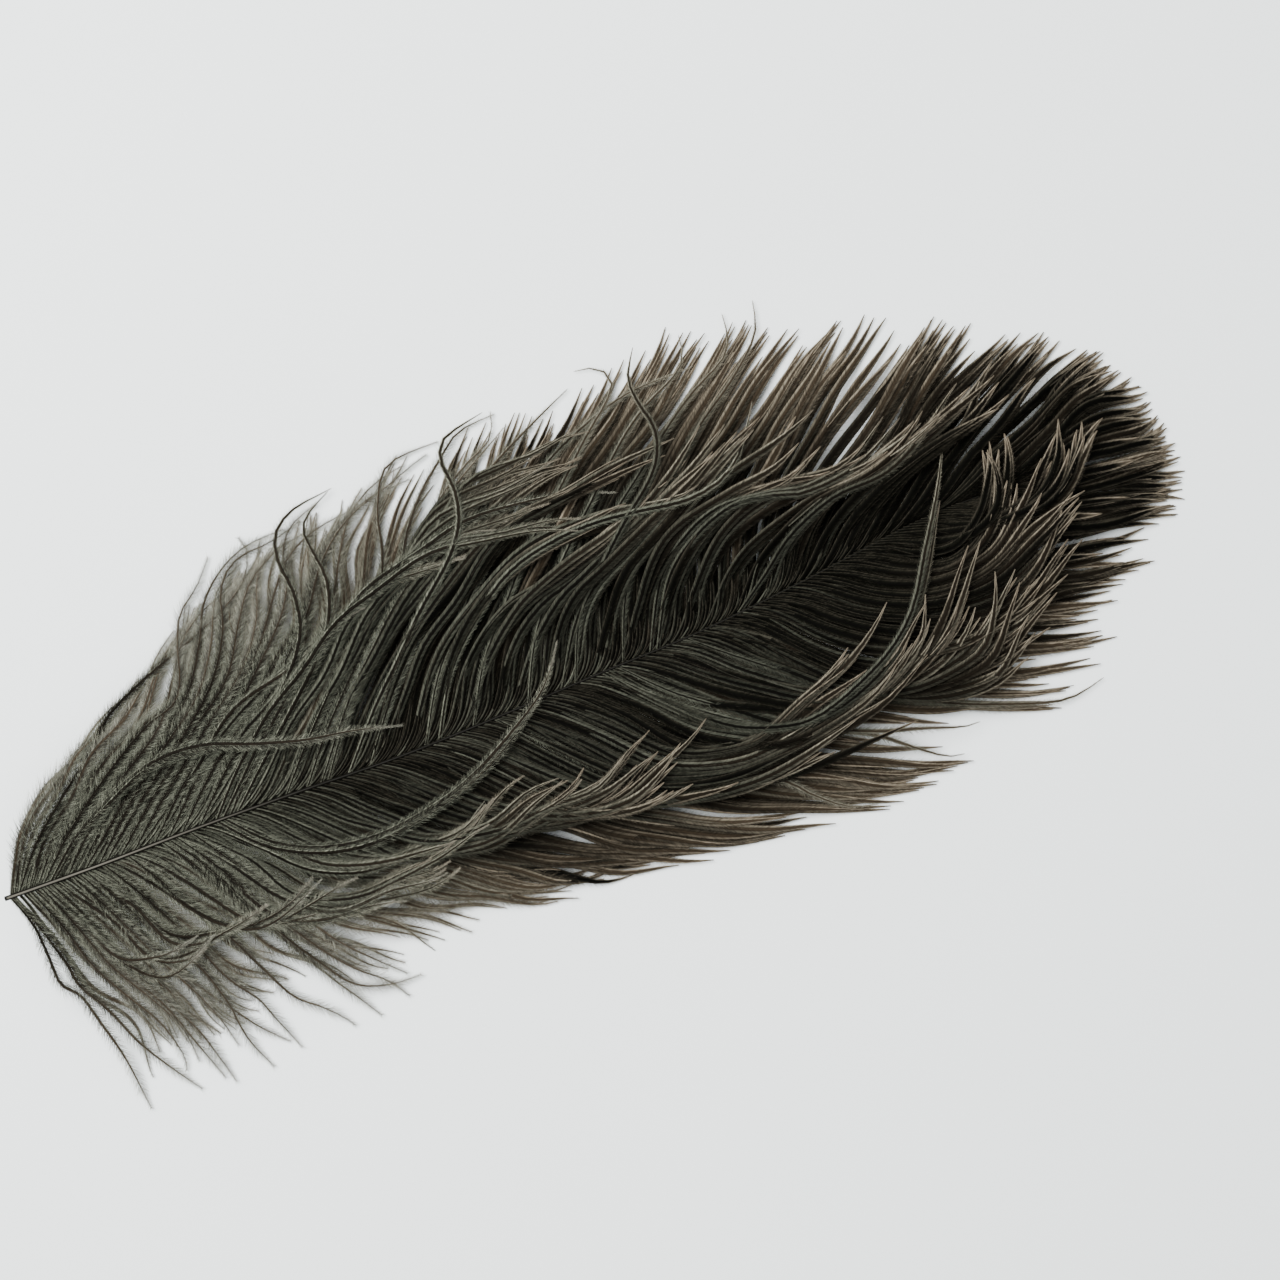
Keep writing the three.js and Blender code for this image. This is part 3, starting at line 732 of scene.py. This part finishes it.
def layer_plan(flow, root_x, habit, notches, rng):
    """Barbs seen from above, each following the flow from its own root. Twos and threes are drawn
    together into bundles near the shaft, less so where the vane fans out, and part again towards
    their tips. Threes to sixes draw together into locks at their tips. Bundles stray by part of a
    drawn barb, all drift a little, and tips splay by the square of how far past their middle they
    are. Also returns how far along the flow they are, their layer, and which lie under another."""
    count = len(root_x)
    roots = [row[0] for row in flow]
    across = np.interp(root_x, roots, np.arange(len(roots)))[:, None]
    along = np.linspace(0, 1, PLAN_PLACES)[None, :]
    pale = 1 - smoothstep(40, 150, root_x)
    fanned = smoothstep(150, 190, root_x) * (1 - smoothstep(238, 265, root_x))
    near_tip = smoothstep(235, 280, root_x)
    lock, lock_number, _ = gather(across[:, 0], 3, 6, rng)
    bundle, bundle_number, rank = gather(across[:, 0], 2, 3, rng)

    # How far along the flow each barb gets, with cut barbs and the notches.
    short = 0.5 * rng.random(count)[lock_number] + 0.5 * rng.random(count) ** 1.5
    shorn = rng.random(count) < habit.cut * smoothstep(5, 40, root_x)
    ragged = 1 + 1.5 * habit.cut * smoothstep(190, 270, root_x)
    short = short * ragged + shorn * rng.uniform(0.6, 2.4, count)
    track = along * (1 - (1 - habit.shortest) * short[:, None])
    for middle, half, depth in notches:
        track = track * (1 - depth * np.exp(-((root_x - middle) / half) ** 2))[:, None]

    # Where it runs between the drawn barbs.
    release = np.clip(habit.free - 0.15 * pale - 0.4 * near_tip, 0, 1)[:, None]
    parting = smoothstep(0.6 - 0.25 * habit.free, 1 - 0.25 * habit.free, track)
    hold = (0.84 + 0.12 * pale - 0.3 * fanned)[:, None] * (1 - release * parting)
    hold = hold * smoothstep(0.04, 0.2, track)
    loose = smoothstep(0, 15, root_x) * (1 - 0.6 * smoothstep(250, 300, root_x))
    pull = smoothstep(0.65, 1.0, track) * (loose * (0.36 - 0.2 * pale))[:, None]
    placed = across + hold * (bundle[:, None] - across)
    placed = placed + pull * (lock[:, None] - placed)
    strayed = habit.stray * rng.normal(0, 1, count)[bundle_number, None]
    placed = placed + strayed * smoothstep(0.1, 0.6, track)
    placed = placed + 0.3 * smoothstep(0.05, 0.7, track) * shared_drift(across, track, rng)

    # How far it drifts sideways from there, in millimetres.
    plan = on_sheet(flow_sheet(flow), placed, track)
    run = run_along(plan)
    wave = 60 - 20 * pale
    drift = wander(run, 0.6 + habit.sway * pale + 0.7 * near_tip, wave, bundle_number, rng)
    drift = drift + wander(run, 0.3 + 0.1 * pale, wave, np.arange(count), rng)
    rippled = 0.4 + 1.0 * pale * smoothstep(2, 20, root_x)
    drift = drift + rippled[:, None] * ripple(root_x[:, None], run, rng)
    apart = habit.splay * (0.4 + 0.6 * smoothstep(30, 150, root_x)) * rng.normal(0, 1, count)
    drift = drift + apart[:, None] * np.clip((track - 0.5) / 0.5, 0, 1) ** 2
    layer = rng.uniform(-1, 1, count)[bundle_number] - 0.55 * rank
    return plan + drift[..., None] * sideways(plan), track, layer, rank > 0


def bent_from_shaft(plan, bend):
    """Barbs that leave the shaft at a slant and then straighten: their X falls back by bend at the
    root, and by less and less along an exponential curve."""
    fade = np.exp(-run_along(plan) / SLANT_FADE)
    root = plan[:, 0, 0]
    plan = plan.copy()
    plan[..., 0] -= bend[:, None] * fade
    plan[..., 1] += (shaft_y(root - bend) - shaft_y(root))[:, None] * fade
    return plan


def vane_barbs(vane, shape, rng):
    """All the barbs of one vane: flat ones that follow its flow, at the vane's height, and draped
    ones between them, which rise over it and bend back towards the plume's tip. Barbs of one layer
    keep the same distance above or below, by half a sine wave along them."""
    steps, pitch = shape.barb_steps, shape.barb_pitch / MM
    flat_x = np.sort(np.concatenate([np.arange(vane.first, LAST_ROOT, pitch),
                                     np.arange(vane.first + pitch / 2, vane.crowded, pitch),
                                     np.arange(CROWDED_TIP, LAST_ROOT, pitch)]))
    drape_x = np.arange(vane.drape[0][0], vane.drape[-1][0], pitch / vane.draped)
    drape_x = drape_x[(drape_x > SPARSE_DRAPES) | (np.arange(len(drape_x)) % 2 == 0)]
    root_x = np.concatenate([flat_x, drape_x])
    count = len(root_x)
    jitter = 0.12
    root_x = root_x + rng.uniform(-jitter, jitter, count) * pitch
    drapes = np.arange(count) >= len(flat_x)
    path, length, under = np.empty((count, steps, 3)), np.empty(count), np.empty(count, bool)
    flat_habit = Habit(shortest=0.87, cut=vane.ragged, stray=0.03, splay=2.0, sway=1.2, free=0.8)
    draped_habit = Habit(shortest=0.62, cut=0.0, stray=0.25, splay=3.6, sway=0.3, free=1.6)
    for chosen, rows, habit, notches in ((~drapes, vane.flow, flat_habit, vane.notches),
                                         (drapes, vane.drape, draped_habit, ())):
        x = root_x[chosen]
        plan, track, layer, under[chosen] = layer_plan(rows, x, habit, notches, rng)
        plan = bent_from_shaft(plan, vane.slant * smoothstep(0, 50, x))
        if habit is flat_habit:
            spread = 1.3 - 0.8 * (1 - smoothstep(40, 130, x))
            height = vane_height(track, shape) + (spread * layer - 1.2)[:, None] * np.sin(np.pi * track)
        else:
            lift = 3.2 * smoothstep(0.1, 0.4, track) + 2.2 * smoothstep(0.5, 0.95, track)
            height = height_over(plan, shape) + lift + (0.7 * layer[:, None]) * np.sin(np.pi * track)
        height = np.maximum(height + 0.3, LOWEST + 0.8 * rng.random((len(x), 1)))
        path[chosen], length[chosen] = respaced(plan, height, steps)
    return path, length, root_x, drapes, under


def barb_width(own, pale, shape):
    """Half width along a barb: slim at the root, full from a third of its length, and then a
    bulging taper to a point, over the last fifth of a dark barb and twice that of a pale one."""
    full = 0.5 * shape.barb_width / MM
    taper = np.clip((1 - own) / (0.2 + 0.2 * pale), 0.03, 1) ** 0.7
    return full * (0.74 + 0.26 * smoothstep(0.05, 0.35, own)) * taper


def dressed(path, length, tone, pale, plain, roll, shape, slim=1.0, tilt=0.0):
    """Widths, hairs and tones for barbs. Pale ones are thin with long hairs, and dark ones are
    broad with short hairs. slim narrows them all, and tilt turns them near the shaft."""
    own = step_places(path.shape[1])[None, :]
    pale = pale[:, None]
    fading = np.clip((1 - own) / (0.18 - 0.06 * pale), 0.15 + 0.25 * pale, 1)
    near_root = 1 - smoothstep(0.03, 0.14, own)
    slimmed = 0.44 - 0.18 * near_root
    width = barb_width(own, pale, shape) * slim * (1 - pale * slimmed) * (1 - 0.18 * near_root)
    fluff = (0.6 + 1.1 * pale) * (0.25 + 0.75 * smoothstep(0.02, 0.2, own)) * fading
    return {
        "path": path, "length": length, "width": width, "fluff": fluff, "tone": np.clip(tone, 0, 0.999),
        "plain": plain,
        "hair_gap": 1.0 - 0.4 * pale[:, 0], "channel": 0.3 - 0.65 * pale[:, 0], "pale": pale[:, 0],
        "directions": directions(path, roll[:, None] * (1 - near_root) + tilt * near_root),
    }


class PLUME_OT_vanes(bpy.types.Operator):
    """Make both vanes, each in three pieces from the cut end to the tip"""

    bl_idname = "plume.vanes"
    bl_label = "Make the vanes"

    def execute(self, context):
        shape = context.scene.plume_shape
        material = barb_material(context.scene.plume_colours)
        vanes = {
            "upper_vane": Vane(UPPER_FLOW, UPPER_DRAPE, shape.upper_draped, slant=4.8, ragged=0.15,
                               notches=(), first=1.0, crowded=40.0, seed=0),
            "lower_vane": Vane(LOWER_FLOW, LOWER_DRAPE, shape.lower_draped, slant=4.4, ragged=0.3,
                               notches=LOWER_NOTCHES, first=1.9, crowded=0.0, seed=5)}
        for name, vane in vanes.items():
            rng = np.random.default_rng(shape.seed + vane.seed)
            path, length, root_x, drapes, under = vane_barbs(vane, shape, rng)
            count = len(path)
            tone = 0.04 + 0.94 * smoothstep(5, 108, root_x) + rng.normal(0, 0.07, count)
            tone = tone - 0.12 * drapes * (1 - smoothstep(190, 260, root_x))
            tone = np.clip(tone, 0, 0.99) * (DARKEST_ROW + 1) / TONE_ROWS
            tone = tone + 0.16 * smoothstep(215, 285, root_x)
            # Barbs that lie under another, near the cut end, take a darker tone: painted shade under the
            # barbs above them.
            tone = tone + 0.16 * under * (1 - smoothstep(60, 150, root_x))
            barbs = dressed(path, length, tone, 1 - smoothstep(20, 115, root_x), drapes.astype(int),
                            rng.normal(0, 0.22, count), shape, tilt=0.4)
            fuller = np.where(under, 1.7, 0.9) * np.where(drapes, 0.62, 1)
            barbs["fluff"] = barbs["fluff"] * fuller[:, None]
            for stretch, low, high in STRETCHES:
                chosen = (root_x >= low) & (root_x < high)
                make_barbs(name + "_" + stretch, part_of(barbs, chosen), shape, material, rng)
        return {"FINISHED"}


def drawn_barbs(rows, lift, shape, rng):
    """Barbs that follow drawn curves, with a slight drift. They rise over the vanes by lift and sink
    again by part of it towards their tips."""
    guides = np.stack([spline(whole_path(row), GUIDE_PLACES) for row in rows])
    count = len(guides)
    size, wave = np.full(count, 0.5), np.full(count, 45.0)
    drift = wander(run_along(guides), size, wave, np.arange(count), rng)
    plan = guides + drift[..., None] * sideways(guides)
    along = np.linspace(0, 1, GUIDE_PLACES)[None, :]
    rise = lift * smoothstep(0.1, 0.4, along) * (1 - 0.6 * smoothstep(0.7, 1, along)) + 0.5
    rise = rise + rng.uniform(0, 0.8, (count, 1)) * np.sin(np.pi * along)
    return respaced(plan, np.maximum(height_over(plan, shape) + rise, LOWEST), shape.barb_steps)


class PLUME_OT_strays(bpy.types.Operator):
    """Make the broad barbs that lie over the vanes, and the thin wisps at the edges"""

    bl_idname = "plume.strays"
    bl_label = "Make the stray barbs"

    def execute(self, context):
        shape = context.scene.plume_shape
        material = barb_material(context.scene.plume_colours)
        rng = np.random.default_rng(shape.seed + 2)
        # The name, the drawn curves, the lift over the vanes, how pale the barbs are at the cut end, and
        # shares for their width, their fluff and the gap between their hairs.
        kinds = (("broad_barbs", BROAD_BARBS, 4.5, 0.7, 0.85, 1.0, 1.0),
                 ("wisps", WISPS, 1.5, 0.9, 0.6, 1.5, 0.7))
        for name, rows, lift, pale, slim, fluff, hair_gap in kinds:
            path, length = drawn_barbs(rows, lift, shape, rng)
            count = len(rows)
            root_x = np.array([row[0] for row in rows], float)
            tone = 0.6 * smoothstep(0, 200, root_x) + rng.normal(0, 0.04, count)
            fade = pale * (1 - 0.75 * smoothstep(40, 130, root_x))
            plain = np.full(count, int(rows is BROAD_BARBS))
            barbs = dressed(path, length, tone, fade, plain, rng.normal(0, 0.15, count), shape, slim)
            barbs["fluff"] = barbs["fluff"] * fluff
            barbs["hair_gap"] = barbs["hair_gap"] * hair_gap
            make_barbs(name, barbs, shape, material, rng)
        return {"FINISHED"}


class PLUME_OT_shaft(bpy.types.Operator):
    """Make the shaft: a tapered rod with a shallow ridge along its top and a cut end"""

    bl_idname = "plume.shaft"
    bl_label = "Make the shaft"

    def execute(self, context):
        shape = context.scene.plume_shape
        steps, sides, rise = 180, 16, 0.9
        along = np.linspace(0, 1, steps)
        height = np.full((steps, 1), shape.shaft_height / MM + rise)
        path = np.concatenate([spline(SHAFT_LINE, steps), height], axis=1)[None]
        _, aside, up = directions(path, np.zeros((1, steps)))
        # A circle is carried along the line. Its radius falls by a power of the way along, and a bell
        # curve round its top makes the ridge.
        width = shape.shaft_width + (shape.shaft_tip_width - shape.shaft_width) * along ** 0.7
        radius = 0.5 * width / MM
        angle = np.linspace(0, 2 * np.pi, sides, endpoint=False)
        ridge = 1 + 0.25 * np.exp(-((angle - np.pi / 2) / 0.4) ** 2)
        rings = path[0][:, None] + radius[:, None, None] * (
            (np.cos(angle) * ridge)[None, :, None] * aside[0][:, None]
            + (np.sin(angle) * ridge)[None, :, None] * up[0][:, None])
        number = np.arange(steps * sides).reshape(steps, sides)
        middle = steps * sides + np.arange(2)
        vertices = np.concatenate([rings.reshape(-1, 3), path[0][[0, -1]]])
        root_cap = np.stack([np.roll(number[0], -1), np.full(sides, middle[0]), number[0]], axis=-1)
        tip_cap = np.stack([number[-1], np.full(sides, middle[1]), np.roll(number[-1], -1)], axis=-1)
        u = np.broadcast_to(along[:, None], (steps, sides))
        v = np.broadcast_to(0.5 + 0.5 * np.sin(angle)[None], (steps, sides))
        uv = np.concatenate([np.stack([u, v], -1).reshape(-1, 2), [[0, 0.5], [1, 0.5]]])
        make_piece("shaft", vertices, ring_quads(number), np.concatenate([root_cap, tip_cap]), uv,
                   shaft_material(context.scene.plume_colours))
        return {"FINISHED"}


# ---------------------------------------------------------------- materials


class Nodes:
    """Short ways to add and join shader nodes in one material."""

    def __init__(self, name):
        self.material = bpy.data.materials.new(name)
        self.material.use_nodes = True
        self.tree = self.material.node_tree
        self.shader = self.tree.nodes["Principled BSDF"]

    def join(self, value, socket):
        if isinstance(value, bpy.types.NodeSocket):
            self.tree.links.new(value, socket)
        else:
            socket.default_value = value

    def add(self, kind, **settings):
        node = self.tree.nodes.new(kind)
        for key, value in settings.items():
            setattr(node, key, value)
        return node

    def math(self, operation, first, second=0.0, clamp=False):
        node = self.add("ShaderNodeMath", operation=operation, use_clamp=clamp)
        self.join(first, node.inputs[0])
        self.join(second, node.inputs[1])
        return node.outputs[0]

    def times(self, first, second):
        return self.math("MULTIPLY", first, second)

    def plus(self, first, second):
        return self.math("ADD", first, second)

    def minus(self, first, second):
        return self.math("SUBTRACT", first, second)

    def ramp(self, value, low, high, to_low=0.0, to_high=1.0):
        node = self.add("ShaderNodeMapRange", interpolation_type="SMOOTHSTEP")
        for socket, given in zip(node.inputs, (value, low, high, to_low, to_high)):
            self.join(given, socket)
        return node.outputs[0]

    def mix(self, share, first, second, blend="MIX"):
        node = self.add("ShaderNodeMix", data_type="RGBA", blend_type=blend)
        self.join(share, node.inputs["Factor"])
        self.join(first, node.inputs[6])
        self.join(second, node.inputs[7])
        return node.outputs[2]

    def noise(self, place, detail, scale=1.0):
        node = self.add("ShaderNodeTexNoise", noise_dimensions="3D")
        self.join(place, node.inputs["Vector"])
        node.inputs["Scale"].default_value = scale
        node.inputs["Detail"].default_value = detail
        return node.outputs["Fac"]

    def vector(self, x, y, z=0.0):
        node = self.add("ShaderNodeCombineXYZ")
        for socket, given in zip(node.inputs, (x, y, z)):
            self.join(given, socket)
        return node.outputs[0]

    def bump(self, height, strength):
        node = self.add("ShaderNodeBump")
        node.inputs["Strength"].default_value = strength
        node.inputs["Distance"].default_value = 0.1 * MM
        self.join(height, node.inputs["Height"])
        self.join(node.outputs[0], self.shader.inputs["Normal"])

    def finish(self, colour, roughness, gloss):
        self.join(colour, self.shader.inputs["Base Color"])
        self.join(roughness, self.shader.inputs["Roughness"])
        self.join(gloss, self.shader.inputs["Specular IOR Level"])

    def uv(self):
        split = self.add("ShaderNodeSeparateXYZ")
        self.join(self.add("ShaderNodeUVMap", uv_map="BarbUV").outputs[0], split.inputs[0])
        return split.outputs[0], split.outputs[1]


def solid(colour):
    """A colour with its full opacity."""
    return (*colour, 1.0)


def barb_material(colours):
    """The barbs: a dark line along the middle, grey fuzz beside it and pale edges, in one of several
    tones, crossed by fine slanting lines where hairs lie side by side. Edges and points pale towards
    the tip, and the middle line turns brown there, less on the plain barbs. The pale edges and the
    pale sides of the fringe are partly the hairs' own paler ends and partly painted light: a painted
    highlight on the edges, and painted light showing through the thin hairs of the fringe."""
    if "plume barb" in bpy.data.materials:
        return bpy.data.materials["plume barb"]
    n = Nodes("plume barb")
    # Which tone a place has, whether its barb is plain, and where on the barb it lies: this undoes
    # tone_uv. Long_fade is 0 for the last rows alone.
    u, v = n.uv()
    band = n.times(v, 2.0 * TONE_ROWS)
    plain = n.math("MODULO", n.math("FLOOR", band), 2.0)
    row = n.math("FLOOR", n.times(band, 0.5))
    tone = n.math("MULTIPLY", row, 1.0 / DARKEST_ROW, clamp=True)
    long_fade = n.ramp(row, DARKEST_ROW - 0.5, TONE_ROWS - 1.5, 1.0, 0.0)
    across = n.times(n.minus(n.math("FRACT", band), 0.5), BAND_STRETCH)
    out_by = n.math("ABSOLUTE", across)
    from_tip = n.times(n.minus(1.0, u), LONGEST_BARB)
    # Fine lines slant towards the tip, and slow patches vary each barb.
    slant = n.plus(from_tip, n.times(out_by, 1.6))
    lines = n.noise(n.vector(n.times(slant, 2.1), n.times(across, 0.7), row), 3.0)
    patches = n.noise(n.vector(n.times(from_tip, 0.12), row, across), 2.0)
    rib, flank, edge, tips = (
        n.mix(tone, solid(getattr(colours, part + "_light")), solid(getattr(colours, part + "_dark")))
        for part in ("rib", "flank", "edge", "tip"))
    # The middle line and the fuzz, and then pale edges in the last stretch.
    frayed = n.plus(out_by, n.times(n.minus(lines, 0.5), 0.35))
    rib_edge = n.ramp(tone, 0.1, 0.6, 0.53, 0.3)
    body = n.mix(n.ramp(frayed, rib_edge, n.plus(rib_edge, 0.22)), rib, flank)
    stretch = n.plus(n.ramp(tone, 0.3, 0.8, 38.0, 14.0), n.times(long_fade, 22.0))
    near_tip = n.ramp(from_tip, 4.0, stretch, 1.0, n.ramp(tone, 0.1, 0.8, 0.4, 0.1))
    # The middle line and the fuzz, and then pale edges in the last stretch: partly the hairs' own paler
    # ends and partly a painted highlight where the edges catch the light.
    spread = n.plus(frayed, n.ramp(from_tip, 4.0, 34.0, 0.2, 0.0))
    body = n.mix(n.times(n.ramp(spread, 0.66, 0.92), near_tip), body, edge)
    # The brown middle and pale sides of the fringe. The pale sides are partly the hairs' own paler
    # ends and partly painted light showing through the thin hairs.
    browner = n.plus(n.ramp(tone, 0.1, 0.6, 0.7, 0.0), n.times(long_fade, n.ramp(tone, 0.1, 0.6, 0.3, 0.7)))
    fringe = n.times(n.ramp(from_tip, 4.0, 62.0, 0.85, 0.0), browner)
    fringe = n.times(fringe, n.ramp(plain, 0.0, 1.0, 1.0, 0.25))
    body = n.mix(n.times(fringe, n.ramp(out_by, 0.2, 0.6, 1.0, 0.0)), body, solid(colours.rib_tip))
    body = n.mix(n.times(fringe, n.ramp(out_by, 0.3, 0.65, 0.0, 0.7)), body, tips)
    # The point itself.
    point = n.ramp(from_tip, 0.5, n.ramp(tone, 0.1, 0.5, 14.0, 7.0), n.ramp(tone, 0.1, 0.5, 0.45, 0.8), 0.0)
    body = n.mix(n.times(point, n.ramp(out_by, 0.1, 0.7, 0.3, 1.0)), body, tips)
    # Light and dark strokes along the lines.
    strength = n.ramp(tone, 0.2, 0.8, 1.1, 0.6)
    strokes = n.times(n.minus(n.ramp(lines, 0.36, 0.64), 0.5), strength)
    shade = n.plus(n.plus(strokes, 0.55), n.times(patches, 0.9))
    body = n.mix(1.0, body, n.vector(shade, shade, shade), "MULTIPLY")
    n.finish(body, n.ramp(lines, 0.3, 0.7, 0.6, 0.8), 0.015)
    n.bump(lines, 0.25)
    return n.material


def shaft_material(colours):
    """The shaft: a pale ridge near the cut end that darkens towards the tip, with dark flanks and
    fine lengthwise streaks. Its first millimetre, at the cut, is stained dark."""
    n = Nodes("shaft")
    u, v = n.uv()
    streaks = n.noise(n.vector(n.times(u, 40.0), n.times(v, 9.0)), 3.0)
    pale = n.ramp(u, 0.06, 0.28, 1.0, 0.03)
    top = n.ramp(n.plus(v, n.times(n.minus(streaks, 0.5), 0.06)), 0.93, 0.98)
    share = n.times(n.times(pale, top), n.ramp(u, 0.002, 0.006))
    body = n.mix(share, solid(colours.shaft_dark), solid(colours.shaft_pale))
    body = n.mix(n.ramp(streaks, 0.3, 0.75, 0.0, 0.35), body, solid(colours.shaft_dark))
    n.finish(body, n.ramp(streaks, 0.3, 0.7, 0.35, 0.55), 0.05)
    n.bump(streaks, 0.3)
    return n.material


def surface_material(colours):
    """The pale surface, very slightly mottled."""
    n = Nodes("surface")
    place = n.add("ShaderNodeTexCoord").outputs["Object"]
    mottle = n.noise(place, 3.0, 9.0)
    darker = tuple(0.96 * c for c in colours.surface)
    n.join(n.mix(mottle, solid(colours.surface), solid(darker)), n.shader.inputs["Base Color"])
    n.shader.inputs["Roughness"].default_value = 0.8
    return n.material


# ---------------------------------------------------------------- stage


class PLUME_OT_stage(bpy.types.Operator):
    """Make the pale surface, the soft lights and the camera that looks straight down"""

    bl_idname = "plume.stage"
    bl_label = "Make the stage"

    def execute(self, context):
        stage = context.scene.plume_stage
        half = 2.0
        corners = [(-half, -half, 0), (half, -half, 0), (half, half, 0), (-half, half, 0)]
        mesh = bpy.data.meshes.new("surface")
        mesh.from_pydata(corners, [], [(0, 1, 2, 3)])
        mesh.materials.append(surface_material(context.scene.plume_colours))
        surface = bpy.data.objects.new("surface", mesh)
        context.scene.collection.objects.link(surface)

        world = bpy.data.worlds.new("soft light")
        world.use_nodes = True
        background = world.node_tree.nodes["Background"]
        background.inputs[0].default_value = (0.96, 0.98, 1.0, 1.0)
        background.inputs[1].default_value = stage.sky
        context.scene.world = world

        # A large lamp up and to the left, tilted to face the plume.
        key = bpy.data.lights.new("key", "AREA")
        key.shape = "DISK"
        key.size = 0.9
        key.energy = stage.key_power
        lamp = bpy.data.objects.new("key", key)
        lamp.location = (-0.35, 0.45, 1.0)
        lamp.rotation_euler = (math.radians(-24), math.radians(-19), 0)
        context.scene.collection.objects.link(lamp)

        over_x, over_y = 15.1 * MM, -1.3 * MM
        camera = bpy.data.objects.new("camera", bpy.data.cameras.new("camera"))
        camera.data.lens = stage.lens
        camera.data.sensor_width = 36.0
        camera.location = (over_x, over_y, stage.camera_height)
        camera.rotation_euler = (0, 0, stage.camera_turn)
        context.scene.collection.objects.link(camera)
        context.scene.camera = camera
        return {"FINISHED"}


class PLUME_PT_panel(bpy.types.Panel):
    """Lists the steps that build the plume."""

    bl_idname = "PLUME_PT_panel"
    bl_label = "Ostrich Plume"
    bl_space_type = "VIEW_3D"
    bl_region_type = "UI"
    bl_category = "Plume"

    def draw(self, context):
        for operator in OPERATORS:
            self.layout.operator(operator.bl_idname)
        for group in (context.scene.plume_shape, context.scene.plume_colours, context.scene.plume_stage):
            box = self.layout.box()
            for name in group.__annotations__:
                box.prop(group, name)


OPERATORS = (PLUME_OT_stage, PLUME_OT_shaft, PLUME_OT_vanes, PLUME_OT_strays)
CLASSES = (PlumeShape, PlumeColours, PlumeStage, *OPERATORS, PLUME_PT_panel)


def register():
    for cls in CLASSES:
        bpy.utils.register_class(cls)
    bpy.types.Scene.plume_shape = bpy.props.PointerProperty(type=PlumeShape)
    bpy.types.Scene.plume_colours = bpy.props.PointerProperty(type=PlumeColours)
    bpy.types.Scene.plume_stage = bpy.props.PointerProperty(type=PlumeStage)


def unregister():
    del bpy.types.Scene.plume_stage
    del bpy.types.Scene.plume_colours
    del bpy.types.Scene.plume_shape
    for cls in reversed(CLASSES):
        bpy.utils.unregister_class(cls)


def main():
    register()
    bpy.ops.plume.stage()
    bpy.ops.plume.shaft()
    bpy.ops.plume.vanes()
    bpy.ops.plume.strays()


if __name__ == "__main__":
    main()
